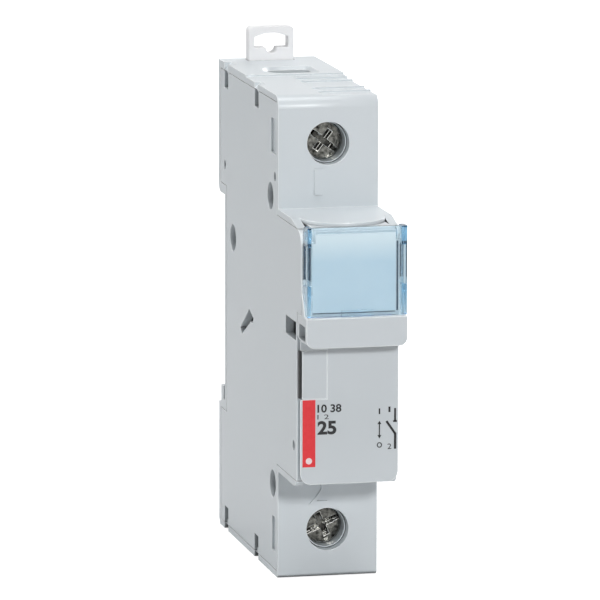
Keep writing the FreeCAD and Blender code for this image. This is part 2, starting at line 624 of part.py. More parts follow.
# The housing: right wall, end walls and the inner walls, one moulding
def make_housing():
    body = new_body("housing")
    add(body, "block", "YZ", "-half_width", "half_width", [outline()])
    rear = box("-half_width", "half_width", "-rear_top_edge", "lug_depth")
    add(body, "rear_top", "XY", "half_height", "top_level", [rear])
    shape_nose(body)
    soften(body, "shoulder_edge", "shoulder_round", "X", [("-shoulder_depth", "half_height")])
    soften(body, "lower_edge", "lower_round", "X", [("-shoulder_depth", "-half_height")])
    soften(body, "lug_edge", "lug_round", "X", [("lug_depth", "seat_half")])
    soften(body, "lug_heel", "lug_heel", "X", [("lower_lug_depth", "-half_height")], "Chamfer")

    # Seat for the side plate, then the chambers behind it
    seat = plate_region("plate_gap", "plate_back_gap")
    cut(body, "plate_seat", "YZ", "-half_width", "-inside_half", [seat])
    chambers = [box("-past_front", "-chamber_back", "-(nose_bottom - wall)", "nose_top - roof_thick")]
    chambers.append(box("-(chamber_back - wall)", "-back_wall", "-middle_wall", "middle_wall"))
    for end, side in ENDS:
        low, high = span(side, "middle_wall + wall", "half_height - top_wall")
        chambers.append(box("-terminal_front", "-back_wall", low, high))
    cut(body, "chambers", "YZ", "-inside_half", "inside_half", chambers)
    passages = []
    for end, side in ENDS:
        low, high = span(side, "middle_wall", "middle_wall + wall")
        passages.append(box("-bar_front - bar_gap", "-bar_front + bar_thick + bar_gap", low, high))
        low, high = span(side, "bar_low - bar_gap", "bar_high + bar_gap")
        passages.append(box("-chamber_back", "-(chamber_back - wall)", low, high))
    cut(body, "bar_passages", "YZ", "-inside_half", "bar_half + bar_gap", passages)

    # Roof of the nose: open to the front but for a round tongue
    opening = box("-inside_half", "inside_half", "-past_front", "-nose_slope_depth")
    cut(body, "roof_opening", "XY", "nose_top - roof_thick", "nose_top + wall", [opening])
    tongue = ("0", "-nose_slope_depth", "tongue_radius")
    add(body, "tongue", "XY", "nose_top - roof_thick", "nose_top", circles=[tongue])
    room = box("-inside_half", "inside_half", "-past_front", "-barrel_front")
    cut(body, "barrel_room", "XY", "-(nose_bottom + wall)", "-(nose_bottom - wall)", [room])

    # Bearing for the drawer's journal, and the window in the right wall
    cut(body, "bearing", "YZ", "inside_half", "bearing_end", circles=[PIVOT + ("bearing_radius",)])
    window = box("-window_front", "-window_back", "window_low", "window_high")
    cut(body, "right_window", "YZ", "inside_half", "half_width", [window])

    # Bosses and bores behind the side plate's holes
    bosses = rivet_holes("rivet_radius + rivet_wall")
    add(body, "rivet_bosses", "YZ", "-inside_half", "inside_half", circles=bosses)
    deep = "-inside_half + rivet_depth"
    cut(body, "rivet_bores", "YZ", "-inside_half", deep, circles=rivet_holes("rivet_radius"))
    cut(body, "pin_bores", "YZ", "-inside_half", "-inside_half + pin_depth", circles=PIN_HOLES)

    for end, side in ENDS:
        make_terminal_openings(body, end, side)
    make_ribbed_fields(body)

    # Channel and stop for the mounting clip
    wide = "(clip_half + clip_gap)"
    deep = "slot_room + clip_thick + 2 * clip_gap"
    channel = box(f"-{wide}", wide, "slot_room", deep)
    cut(body, "clip_channel", "XY", "seat_half", "top_level", [channel])
    nub = box(f"-{wide}", "-(clip_half - clip_notch + clip_gap)", "slot_room", deep)
    add(body, "clip_stop", "XY", "stop_nub_low", "stop_nub_high", [nub])

    # Snap noses that hold the side plate, and the bevels above them
    noses = snap_slots("snap_high - snap_nose", "snap_high + plate_gap", "plate_gap")
    add(body, "snap_noses", "YZ", "-(half_width - mark_depth)", "-inside_half", noses)
    bevels = []
    for end, side in ENDS:
        low = f"{side} * (half_height - 2 * snap_bevel)"
        high = f"{side} * (half_height + snap_bevel)"
        corners = [("-(half_width + snap_bevel)", low), ("-(half_width + snap_bevel)", high)]
        bevels.append(corners + [("-(half_width - 2 * snap_bevel)", high)])
    for name in ("front", "back"):
        depth = f"snap_{name}_depth"
        cut(body, name + "_snap_bevels", "XZ", f"-{depth}", f"-{depth} + snap_width", bevels)
    return body


def make_terminal_openings(body, end, side):
    """The screw hole in one shoulder and the wire entry in the end face beside it."""
    centre = ("0", f"{side} * terminal_height")
    bore = centre + ("screw_bore_radius",)
    cut(body, end + "_screw_bore", "XZ", "-shoulder_depth", "-screw_seat", circles=[bore])
    hole = centre + ("screw_hole_radius",)
    cut(body, end + "_screw_hole", "XZ", "-screw_seat", "-terminal_front", circles=[hole])
    outer = "top_level" if side > 0 else "half_height"
    low, high = span(side, "half_height - top_wall", outer)
    mouth = box("-entry_left", "entry_right", "-entry_front", "-entry_back")
    cut(body, end + "_wire_entry", "XY", low, high, [mouth])
    for name, edge in (("left", "-entry_left"), ("right", "entry_right")):
        corners = [(edge, "-entry_front"), (edge, "-entry_back")]
        soften(body, f"{end}_entry_{name}_round", f"entry_{name}_round", "Z", corners)
    names = edges_around(body.Tip.Shape, f"{side} * {outer}", (mouth[0], mouth[2]))
    dress(body, end + "_entry_lead", "Chamfer", "entry_lead", names)


def make_ribbed_fields(body):
    """Shallow fields with ribs between them, on the right half of both end faces."""
    places = ["field_rim", "first_rib", "second_rib", "third_rib", "fourth_rib", "field_length"]
    fields = []
    for before, after in zip(places, places[1:]):
        front = f"-(shoulder_depth - {before} - field_rib_width / 2)"
        back = f"-(shoulder_depth - {after} + field_rib_width / 2)"
        fields.append(box("-field_left", "half_width", front, back))
    for end, side in ENDS:
        low, high = span(side, "half_height - field_depth", "half_height")
        cut(body, end + "_ribbed_fields", "XY", low, high, fields)


# The left side wall, a separate flat moulding let into the housing
def make_side_plate():
    body = new_body("side_plate")
    outside, inside = "-half_width", "-inside_half"
    add(body, "plate", "YZ", outside, inside, [outline()])
    shape_nose(body)
    around = box("-past_front", "past_back", "-past_end", "past_end")
    cut(body, "plate_edge", "YZ", outside, inside, [around, plate_region("0", "0")])
    slots = snap_slots("snap_low", "snap_high + plate_gap", "0")
    cut(body, "plate_snaps", "YZ", outside, inside, slots)
    window = box("-window_front", "-window_back", "window_low", "window_high")
    cut(body, "left_window", "YZ", outside, inside, [window])
    bearing = PIVOT + ("bearing_radius",)
    cut(body, "left_bearing", "YZ", "-bearing_end", inside, circles=[bearing])
    small = PIN_HOLES + [("-pivot_depth", "-nose_pin_drop", "pin_radius")]
    cut(body, "round_holes", "YZ", outside, inside, circles=rivet_holes("rivet_radius") + small)
    vent = [
        ("-vent_front", "vent_front_height"),
        ("-vent_corner_depth", "-vent_corner_drop"),
        ("-vent_inner_depth", "-vent_inner_drop"),
        ("-vent_foot_depth", "-vent_foot_drop"),
        ("-vent_back", "-vent_back_drop"),
        ("-vent_top_depth", "vent_top"),
    ]
    cut(body, "vent", "YZ", outside, inside, [vent])
    shallow = []
    for end, side in ENDS:
        front = f"(shoulder_depth - {end}_flat_rim)"
        low, high = span(side, "flat_low", "flat_high")
        shallow.append(box(f"-{front}", f"-({front} - {end}_flat_width)", low, high))
    cut(body, "flat_recesses", "YZ", outside, "-(half_width - mark_depth)", shallow)
    return body


# The tilting drawer: front panel, hollow handle, label plate, barrel and cradles
def make_drawer():
    body = new_body("drawer")
    panel = box("-panel_half", "panel_half", "-panel_bottom", "handle_bottom")
    add(body, "front_panel", "XZ", "-panel_front", "-panel_back", [panel])
    corners = [("-panel_half", "-panel_bottom"), ("panel_half", "-panel_bottom")]
    soften(body, "panel_corners", "panel_round", "Y", corners)
    soften(body, "panel_heel", "panel_heel", "X", [("-panel_back", "-panel_bottom")], "Chamfer")
    handle = box("-handle_half", "handle_half", "handle_bottom", "handle_top")
    add(body, "handle", "XZ", "-handle_front", "-panel_back", [handle])
    corners = [("-handle_half", "handle_bottom"), ("handle_half", "handle_bottom")]
    soften(body, "handle_corners", "handle_round", "Y", corners)
    inner = "(handle_half - handle_wall)"
    hollow = box(f"-{inner}", inner, "-(handle_front - handle_wall)", "-panel_front")
    cut(body, "handle_hollow", "XY", "handle_bottom", "handle_top - handle_wall", [hollow])
    slot = box("-handle_slot_front", "-handle_slot_back", "handle_slot_low", "handle_slot_high")
    cut(body, "handle_slots", "YZ", "-handle_half", "handle_half", [slot])
    tray = box("-tray_half", "tray_half", "handle_top", "tray_top")
    add(body, "label_plate", "XZ", "-tray_front", "-tray_back", [tray])

    # Cheeks beside the label plate, ears for the cover's hinge
    cheek = [("-tray_back", "cheek_height"), ("-tray_back", "handle_top"), ("-tray_front", "handle_top")]
    ear = COVER_AXIS + ("ear_radius",)
    hole = COVER_AXIS + ("cover_pin_radius + cover_pin_gap",)
    for name, low, high in both_sides("tray_half", "handle_half"):
        add(body, name + "_cheek", "YZ", low, high, [cheek])
    for name, low, high in both_sides("tray_half - ear_thick", "tray_half"):
        add(body, name + "_ear", "YZ", low, high, circles=[ear])
        cut(body, name + "_ear_hole", "YZ", low, high, circles=[hole])

    # Inner side plates and the stops at both ends of the link
    tall = [
        ("-tray_back", "handle_top"),
        ("-panel_back", "handle_top"),
        ("-panel_back", "-link_end"),
        ("-inner_depth", "-link_end"),
        ("-inner_depth", "link_end"),
        ("-tray_back", "link_end"),
    ]
    for name, low, high in both_sides("inner_half - inner_plate", "inner_half"):
        add(body, name + "_inner_plate", "YZ", low, high, [tall])
    upper_stop = [
        ("-tray_back", "link_end"),
        ("-stop_back", "link_end"),
        ("-stop_back", "stop_top"),
        ("-inner_depth", "stop_top"),
        ("-inner_depth", "crescent_foot"),
        ("-tray_back", "crescent_foot"),
    ]
    add(body, "upper_stop", "YZ", "-inner_half", "inner_half", [upper_stop])
    lower_stop = box("-panel_back", "-stop_back", "-stop_top", "-link_end")
    add(body, "lower_stop", "YZ", "-lower_stop_half", "lower_stop_half", [lower_stop])

    # Two raised corners that fill the roof beside its tongue
    corners = box("-inner_half", "inner_half", "-tray_back", "-nose_slope_depth")
    add(body, "crescents", "XY", "crescent_foot", "nose_top - crescent_drop", [corners])
    room = ("0", "-nose_slope_depth", "tongue_radius + tongue_gap")
    cut(body, "tongue_room", "XY", "crescent_foot", "nose_top - crescent_drop", circles=[room])

    # Barrel and journals of the pivot
    web = box("-panel_back", "-pivot_depth", "-(pivot_drop + barrel_web)", "-link_end")
    add(body, "web", "YZ", "-barrel_half", "barrel_half", [web])
    add(body, "barrel", "YZ", "-barrel_half", "barrel_half", circles=[PIVOT + ("barrel_radius",)])
    reach = "(barrel_half + trunnion_length)"
    add(body, "journals", "YZ", f"-{reach}", reach, circles=[PIVOT + ("trunnion_radius",)])

    # Cradles that hold the link by its waist, and the windows beside it
    saddles = [box("-panel_back", "-cradle_back", "-cradle_low", "cradle_mid")]
    saddles.append(box("-panel_back", "-cradle_back", "saddle_low", "cradle_high"))
    add(body, "cradles", "YZ", "-inner_half", "inner_half", saddles)
    bed = ("0", "-link_depth", "link_radius + link_gap")
    cut(body, "link_bed", "XY", "-(cradle_low + wall)", "cradle_high + wall", circles=[bed])
    low, high = "window_low - window_margin", "window_high + window_margin"
    side_window = box("-(window_front + window_margin)", "-window_back", low, high)
    for name, low, high in both_sides("inner_half - inner_plate", "inner_half"):
        cut(body, name + "_inner_window", "YZ", low, high, [side_window])

    # Recess for the indicator blank, open at the left side
    low, high = "-(blank_low + blank_gap)", "blank_high + blank_gap"
    recess = box("-(panel_half + wall)", "-(blank_right - blank_gap)", low, high)
    floor = "-(panel_front - blank_thick - blank_gap)"
    cut(body, "blank_recess", "XZ", "-panel_front", floor, [recess])
    side = box("-(panel_half + wall)", "-(panel_half - blank_side_slot)", "-blank_low", "blank_high")
    cut(body, "blank_side_slot", "XZ", "-panel_front", "-panel_back", [side])
    return body


# The clear label cover that flips up
def make_label_cover():
    body = new_body("label_cover")
    front = box("-cover_half", "cover_half", "cover_bottom", "cover_top")
    add(body, "cover_front", "XZ", "-handle_front", "-cover_back", [front])
    side = [
        ("-cover_back", "cover_bottom"),
        ("-(tray_front + cheek_gap)", "cover_bottom"),
        ("-cover_side_back", "cheek_height + cheek_gap"),
        ("-cover_side_back", "cover_axis_height"),
        ("-cover_axis_depth", "cover_axis_height"),
        ("-cover_axis_depth", "cover_axis_height + cover_ear_radius"),
        ("-cover_back", "cover_top"),
    ]
    inner = "(cover_half - cover_side)"
    corner = COVER_AXIS + ("cover_ear_radius",)
    for name, low, high in both_sides(inner, "cover_half"):
        add(body, name + "_side", "YZ", low, high, [side])
        add(body, name + "_round_corner", "YZ", low, high, circles=[corner])
    pin = COVER_AXIS + ("cover_pin_radius",)
    for name, low, high in both_sides(f"{inner} - cover_pin_length", inner):
        add(body, name + "_pin", "YZ", low, high, circles=[pin])
    front, back = "-(cover_back - cover_window_edge)", "-cover_side_back - cover_window_edge"
    window = box(front, back, "cover_window_low", "cover_window_high")
    cut(body, "side_windows", "YZ", "-cover_half", "cover_half", [window])
    top = "cover_bottom + cover_tab_height"
    tab = box("-cover_tab_half", "cover_tab_half", "cover_bottom", top)
    add(body, "nail_tab", "XZ", "-(handle_front + cover_tab_reach)", "-handle_front", [tab])
    return body


def make_label_card():
    body = new_body("label_card")
    card = box("-card_half", "card_half", "card_low", "card_high")
    add(body, "card", "XZ", "-(tray_front + card_thick)", "-tray_front", [card])
    return body


def make_indicator_blank():
    body = new_body("indicator_blank")
    pane = box("-blank_left", "-blank_right", "-blank_low", "blank_high")
    add(body, "pane", "XZ", "-panel_front", "-(panel_front - blank_thick)", [pane])
    return body


# The solid link in the place of a 10 x 38 fuse
def make_neutral_link():
    body = new_body("neutral_link")
    centre = ("0", "-link_depth")
    add(body, "waist", "XY", "-link_half", "link_half", circles=[centre + ("link_waist",)])
    for end, side in ENDS:
        low, high = span(side, "link_half - link_cap", "link_half")
        add(body, end + "_cap", "XY", low, high, circles=[centre + ("link_radius",)])
    return body


# A folded copper jaw, its steel clip, the contact bar and the screw clamp of one end
def make_terminal(end, side):
    jaw = new_body(end + "_jaw")
    inner = "(link_radius + jaw_gap)"
    outer = "(link_radius + jaw_gap + jaw_thick)"
    lip_end = "-(jaw_front + jaw_lip)"
    right = [
        (outer, "-jaw_base + jaw_thick"),
        (outer, "-jaw_front"),
        (f"{outer} + jaw_flare", lip_end),
        (f"{inner} + jaw_flare", lip_end),
        (inner, "-jaw_front"),
        (inner, "-jaw_base"),
    ]
    left = [(f"-({u})", v) for u, v in reversed(right)]
    low, high = span(side, "jaw_low", "jaw_high")
    add(jaw, end + "_jaw_fold", "XY", low, high, [right + left])

    spring = new_body(end + "_jaw_spring")
    far = f"({outer} + spring_thick)"
    back = "-jaw_base + jaw_thick"
    half = [
        (far, f"{back} + spring_thick"),
        (far, "-spring_front"),
        (outer, "-spring_front"),
        (outer, back),
    ]
    other = [(f"-({u})", v) for u, v in reversed(half)]
    low, high = span(side, "spring_low", "spring_high")
    add(spring, end + "_spring_fold", "XY", low, high, [half + other])

    bar = new_body(end + "_contact_bar")
    level = f"{side} * bar_level"
    step = f"{side} * bar_thick / 2"
    bar_back = "-bar_front + bar_thick"
    path = [
        (back, f"{level} - {step}"),
        (bar_back, f"{level} - {step}"),
        (bar_back, f"{side} * bar_top"),
        ("-bar_front", f"{side} * bar_top"),
        ("-bar_front", f"{level} + {step}"),
        (back, f"{level} + {step}"),
    ]
    add(bar, end + "_bar", "YZ", "-bar_half", "bar_half", [path])
    soften(bar, end + "_bar_bend", "bar_bend", "X", [("-bar_front", f"{level} + {step}")])
    soften(bar, end + "_bar_heel", "bar_bend + bar_thick", "X", [(bar_back, f"{level} - {step}")])

    cage = new_body(end + "_clamp_cage")
    centre = f"{side} * terminal_height"
    low, high = span(side, "terminal_height - cage_half_height", "terminal_height + cage_half_height")
    ring = box("-cage_half", "cage_half", "-cage_front", "-cage_back")
    mouth = "(cage_half - cage_side)"
    hole = box(f"-{mouth}", mouth, "-(bar_front + bar_front_room)", "-(cage_back + cage_back_thick)")
    add(cage, end + "_cage", "XY", low, high, [ring, hole])
    thread = ("0", centre, "screw_radius + thread_gap")
    cut(cage, end + "_cage_thread", "XZ", "-cage_front", "-(bar_front + bar_front_room)", circles=[thread])

    screw = new_body(end + "_terminal_screw")
    under = "(-screw_seat - screw_play)"
    top = f"({under} - screw_head_thick)"
    shank = ("0", centre, "screw_radius")
    add(screw, end + "_shank", "XZ", under, "-(bar_front + screw_end_gap)", circles=[shank])
    add(screw, end + "_head", "XZ", top, under, circles=[("0", centre, "screw_head_radius")])
    arm = "recess_width / 2"
    tip = "recess_length / 2"
    flat = box(f"-{tip}", tip, f"{centre} - {arm}", f"{centre} + {arm}")
    upright = box(f"-{arm}", arm, f"{centre} - {tip}", f"{centre} + {tip}")
    cut(screw, end + "_cross_flat", "XZ", top, f"{top} + recess_depth", [flat])
    cut(screw, end + "_cross_upright", "XZ", top, f"{top} + recess_depth", [upright])
    reach = "(screw_head_radius + wall)"
    blade = "slot_width / 2"
    slot = box(f"-{reach}", reach, f"{centre} - {blade}", f"{centre} + {blade}")
    cut(screw, end + "_slot", "XZ", top, f"{top} + slot_depth", [slot])
    return [jaw, spring, bar, cage, screw]


# The white slide clip that closes the mounting slot
def make_mounting_clip():
    body = new_body("mounting_clip")
    plate = box("-clip_half", "clip_half", "slot_half - clip_bite", "clip_top")
    add(body, "clip_plate", "XZ", "clip_front", "clip_back", [plate])
    corners = [("-clip_half", "clip_top"), ("clip_half", "clip_top")]
    soften(body, "clip_corners", "clip_round", "Y", corners)
    eye = [
        ("-clip_eye_half", "clip_eye_low"),
        ("clip_eye_half", "clip_eye_low"),
        ("clip_eye_half", "clip_eye_high"),
        ("clip_eye_flat", "clip_eye_high + clip_eye_rise"),
        ("-clip_eye_flat", "clip_eye_high + clip_eye_rise"),
        ("-clip_eye_half", "clip_eye_high"),
    ]
    cut(body, "clip_eye", "XZ", "clip_front", "clip_back", [eye])
    notch = ("0", "clip_eye_low", "clip_eye_notch")
    cut(body, "clip_eye_notch", "XZ", "clip_front", "clip_back", circles=[notch])
    low = "stop_nub_low - clip_travel - clip_gap"
    side = box("-(clip_half + wall)", "-(clip_half - clip_notch)", low, "stop_nub_high + clip_gap")
    cut(body, "clip_notch_side", "XZ", "clip_front", "clip_back", [side])
    lead = [("clip_back", "slot_half - clip_bite")]
    soften(body, "clip_lead", "clip_thick / 2", "X", lead, "Chamfer")
    return body


pieces = [make_housing(), make_side_plate(), make_drawer(), make_label_cover(), make_label_card()]
pieces += [make_indicator_blank(), make_neutral_link()]
for end, side in ENDS:
    pieces += make_terminal(end, side)
pieces.append(make_mounting_clip())
doc.recompute()

for thing in doc.Objects:
    if "Invalid" in thing.State or "Error" in thing.State:
        raise RuntimeError(f"{thing.Label} failed: {thing.State}")
os.makedirs("parts", exist_ok=True)
for piece in pieces:
    shape = piece.Shape
    if shape.isNull() or not shape.isValid() or not shape.Solids:
        raise RuntimeError(f"{piece.Label} has no valid solid")
    shape.exportStep(f"parts/{piece.Label}.step")
    print(f"{piece.Label}: {len(shape.Solids)} solid, {shape.Volume:.1f} cubic mm")
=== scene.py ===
import math

import bmesh
import bpy
from mathutils import Matrix, Vector


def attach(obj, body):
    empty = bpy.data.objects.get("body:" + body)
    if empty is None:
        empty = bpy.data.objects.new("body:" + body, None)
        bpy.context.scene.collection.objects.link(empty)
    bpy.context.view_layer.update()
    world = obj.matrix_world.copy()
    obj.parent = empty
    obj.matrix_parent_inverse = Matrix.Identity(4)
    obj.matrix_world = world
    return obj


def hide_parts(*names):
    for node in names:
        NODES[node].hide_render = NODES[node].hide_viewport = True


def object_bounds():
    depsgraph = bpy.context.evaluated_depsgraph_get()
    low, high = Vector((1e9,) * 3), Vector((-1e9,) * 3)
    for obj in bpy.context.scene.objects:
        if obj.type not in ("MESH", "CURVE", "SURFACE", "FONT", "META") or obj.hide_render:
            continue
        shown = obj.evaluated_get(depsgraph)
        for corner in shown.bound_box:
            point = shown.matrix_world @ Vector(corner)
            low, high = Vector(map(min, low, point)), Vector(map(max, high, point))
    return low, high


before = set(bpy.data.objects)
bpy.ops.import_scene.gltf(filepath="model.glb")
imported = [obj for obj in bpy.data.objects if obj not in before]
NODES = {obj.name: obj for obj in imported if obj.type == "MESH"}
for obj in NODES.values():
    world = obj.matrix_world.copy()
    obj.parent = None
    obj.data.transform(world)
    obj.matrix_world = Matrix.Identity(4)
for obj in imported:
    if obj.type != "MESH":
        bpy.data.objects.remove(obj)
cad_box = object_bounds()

# The frame is in metres; pieces are drawn in millimetres
MM = 0.001
FLOOR_LEVEL = cad_box[0][2]

# Places of faces that carry marks, in millimetres in the part's own frame
PANEL_FACE = -60.4
SHOULDER_FACE = -44.0
INK = 0.03


# Colours are written as they look on screen, from 0 to 255
def colour(red, green, blue):
    """The linear colour of a screen colour."""
    channels = []
    for level in (red, green, blue):
        share = level / 255
        channels.append(share / 12.92 if share <= 0.04045 else ((share + 0.055) / 1.055) ** 2.4)
    return tuple(channels) + (1.0,)


# Materials: nearly all of the noise lies between these two levels
NOISE_LOW = 0.3
NOISE_HIGH = 0.7


def new_material(name):
    material = bpy.data.materials.new(name)
    material.use_nodes = True
    nodes = material.node_tree.nodes
    nodes.clear()
    output = nodes.new("ShaderNodeOutputMaterial")
    shader = nodes.new("ShaderNodeBsdfPrincipled")
    material.node_tree.links.new(shader.outputs["BSDF"], output.inputs["Surface"])
    return material, shader


def add_noise(material, scale, detail=2.0):
    """Noise on the object's own coordinates; scale is in waves to the metre."""
    nodes, links = material.node_tree.nodes, material.node_tree.links
    place = nodes.new("ShaderNodeTexCoord")
    noise = nodes.new("ShaderNodeTexNoise")
    noise.inputs["Scale"].default_value = scale
    noise.inputs["Detail"].default_value = detail
    links.new(place.outputs["Object"], noise.inputs["Vector"])
    return noise


def vary(material, shader, socket, noise, low, high):
    """Lets the noise move a socket between two numbers."""
    nodes, links = material.node_tree.nodes, material.node_tree.links
    spread = nodes.new("ShaderNodeMapRange")
    spread.inputs["From Min"].default_value = NOISE_LOW
    spread.inputs["From Max"].default_value = NOISE_HIGH
    spread.inputs["To Min"].default_value = low
    spread.inputs["To Max"].default_value = high
    links.new(noise.outputs["Fac"], spread.inputs["Value"])
    links.new(spread.outputs["Result"], shader.inputs[socket])


def tint(material, shader, noise, first, second):
    """Base colour that drifts between two screen colours."""
    nodes, links = material.node_tree.nodes, material.node_tree.links
    ramp = nodes.new("ShaderNodeValToRGB")
    ramp.color_ramp.elements[0].position = NOISE_LOW
    ramp.color_ramp.elements[0].color = colour(*first)
    ramp.color_ramp.elements[1].position = NOISE_HIGH
    ramp.color_ramp.elements[1].color = colour(*second)
    links.new(noise.outputs["Fac"], ramp.inputs["Fac"])
    links.new(ramp.outputs["Color"], shader.inputs["Base Color"])


def roughen(material, shader, noise, height):
    """Bump from the noise; height is in millimetres."""
    nodes, links = material.node_tree.nodes, material.node_tree.links
    bump = nodes.new("ShaderNodeBump")
    bump.inputs["Strength"].default_value = 1.0
    bump.inputs["Distance"].default_value = height * MM
    links.new(noise.outputs["Fac"], bump.inputs["Height"])
    links.new(bump.outputs["Normal"], shader.inputs["Normal"])


def shade_recesses(material, shader, reach, deepest, full=0.45):
    """Painted shade: darkens the base colour in gaps and deep holes; reach is in millimetres."""
    nodes, links = material.node_tree.nodes, material.node_tree.links
    open_share = nodes.new("ShaderNodeAmbientOcclusion")
    open_share.inputs["Distance"].default_value = reach * MM
    open_share.samples = 16
    level = nodes.new("ShaderNodeMapRange")
    level.inputs["From Min"].default_value = 0.05
    level.inputs["From Max"].default_value = full
    level.inputs["To Min"].default_value = deepest
    level.inputs["To Max"].default_value = 1.0
    links.new(open_share.outputs["AO"], level.inputs["Value"])
    shade = nodes.new("ShaderNodeVectorMath")
    shade.operation = "SCALE"
    links.new(shader.inputs["Base Color"].links[0].from_socket, shade.inputs["Vector"])
    links.new(level.outputs["Result"], shade.inputs["Scale"])
    links.new(shade.outputs["Vector"], shader.inputs["Base Color"])


def moulded_grey(name, first, second, roughness, grain):
    """Spark-textured thermoplastic: fine grain, a slow drift of colour and painted shade in its
    recesses.
    """
    material, shader = new_material(name)
    tint(material, shader, add_noise(material, 40, 1.0), first, second)
    # Painted shade in recesses and gaps
    shade_recesses(material, shader, 6.0, 0.1)
    vary(material, shader, "Roughness", add_noise(material, 1100, 1.0), *roughness)
    roughen(material, shader, add_noise(material, 5200, 1.0), grain)
    shader.inputs["IOR"].default_value = 1.5
    return material


def metal(name, first, second, roughness, grain):
    """Plated or bright metal, slightly clouded."""
    material, shader = new_material(name)
    shader.inputs["Metallic"].default_value = 1.0
    tint(material, shader, add_noise(material, 900, 3.0), first, second)
    vary(material, shader, "Roughness", add_noise(material, 1500), *roughness)
    roughen(material, shader, add_noise(material, 2500), grain)
    return material


def nickel_with_painted_glints(name):
    """Bright nickel: a mottled base colour with painted glints and dark reflections, and painted shade
    in its hollows.
    """
    material, shader = new_material(name)
    shader.inputs["Metallic"].default_value = 1.0
    # Painted glints and dark reflections: a high-contrast mottle in the base colour
    tint(material, shader, add_noise(material, 1700, 5.0), (30, 31, 29), (150, 150, 144))
    # Painted shade in the cross recess and round the head
    shade_recesses(material, shader, 2.2, 0.01, 0.8)
    vary(material, shader, "Roughness", add_noise(material, 1500), 0.08, 0.16)
    roughen(material, shader, add_noise(material, 1400), 0.05)
    return material


def clear_blue(name):
    """Clear plastic that is bluer the thicker it is."""
    material, shader = new_material(name)
    nodes, links = material.node_tree.nodes, material.node_tree.links
    shader.inputs["Base Color"].default_value = (0.97, 0.99, 1.0, 1)
    shader.inputs["Transmission Weight"].default_value = 1.0
    shader.inputs["IOR"].default_value = 1.45
    vary(material, shader, "Roughness", add_noise(material, 300), 0.03, 0.08)
    roughen(material, shader, add_noise(material, 900, 1.0), 0.003)
    depth = nodes.new("ShaderNodeVolumeAbsorption")
    depth.inputs["Color"].default_value = (0.28, 0.68, 0.88, 1)
    depth.inputs["Density"].default_value = 460.0
    links.new(depth.outputs["Volume"], nodes["Material Output"].inputs["Volume"])
    return material


def ink_and_painted_shade(name, first, second):
    """Pad-printed ink: thin, slightly uneven. The same finish paints shade in dark strips."""
    material, shader = new_material(name)
    tint(material, shader, add_noise(material, 1600, 3.0), first, second)
    vary(material, shader, "Roughness", add_noise(material, 900), 0.35, 0.5)
    roughen(material, shader, add_noise(material, 6000, 1.0), 0.002)
    return material


def paper(name):
    """Pale blue label paper, with a painted highlight that whitens it towards its head."""
    highlight_from, highlight_to = 16.5, 20.5
    material, shader = new_material(name)
    nodes, links = material.node_tree.nodes, material.node_tree.links
    tint(material, shader, add_noise(material, 500, 4.0), (213, 226, 234), (217, 229, 236))
    place = nodes.new("ShaderNodeTexCoord")
    height = nodes.new("ShaderNodeSeparateXYZ")
    links.new(place.outputs["Object"], height.inputs["Vector"])
    # Painted highlight: the colour whitens towards the card's head
    head = nodes.new("ShaderNodeMapRange")
    head.inputs["From Min"].default_value = highlight_from * MM
    head.inputs["From Max"].default_value = highlight_to * MM
    links.new(height.outputs["Z"], head.inputs["Value"])
    highlight_blend = nodes.new("ShaderNodeMix")
    highlight_blend.data_type = "RGBA"
    links.new(head.outputs["Result"], highlight_blend.inputs["Factor"])
    links.new(shader.inputs["Base Color"].links[0].from_socket, highlight_blend.inputs["A"])
    highlight_blend.inputs["B"].default_value = colour(248, 249, 248)
    links.new(highlight_blend.outputs["Result"], shader.inputs["Base Color"])
    vary(material, shader, "Roughness", add_noise(material, 2500), 0.6, 0.75)
    roughen(material, shader, add_noise(material, 7000, 3.0), 0.006)
    return material


def make_finishes():
    """Every finish of the object, under the short name that its pieces use."""
    fine = 0.0008
    smooth = 0.001
    return {
        "case": moulded_grey("case_grey", (208, 215, 219), (210, 216, 220), (0.32, 0.34), fine),
        "drawer": moulded_grey("drawer_grey", (203, 209, 213), (205, 211, 215), (0.30, 0.32), fine),
        # Painted highlight on the rounded edges of case and drawer
        "case_edge_highlight": moulded_grey("painted_edge_highlight", (240, 244, 246), (244, 247, 249), (0.22, 0.26), fine),
        "clip": moulded_grey("clip_white", (246, 246, 247), (249, 249, 250), (0.30, 0.38), 0.002),
        "cover": clear_blue("cover_blue"),
        "card": paper("label_paper"),
        "copper": metal("tinned_copper", (198, 194, 186), (208, 204, 197), (0.24, 0.30), smooth),
        "spring": metal("spring_steel", (156, 158, 162), (170, 172, 176), (0.20, 0.28), smooth),
        "zinc": metal("zinc_steel", (168, 166, 160), (190, 188, 182), (0.25, 0.42), 0.006),
        "silver": metal("silver_plate", (210, 207, 201), (218, 215, 209), (0.18, 0.24), smooth),
        "screw": nickel_with_painted_glints("nickel_screw"),
        # Painted highlight on the rounded edges of the screws
        "screw_edge_highlight": metal("nickel_edge_highlight", (226, 226, 221), (244, 244, 240), (0.08, 0.16), 0.002),
        # Painted shade for the dark strips inside the cover
        "inside": ink_and_painted_shade("painted_shade_inside", (38, 50, 66), (48, 60, 76)),
        "red": ink_and_painted_shade("red_ink", (224, 40, 48), (230, 48, 56)),
        # Black ink for the figures and marks, and painted shade in the gap beside the blank
        "black": ink_and_painted_shade("black_ink_and_shade", (16, 16, 20), (24, 24, 28)),
        "pale": ink_and_painted_shade("pale_ink", (240, 214, 216), (246, 224, 226)),
    }


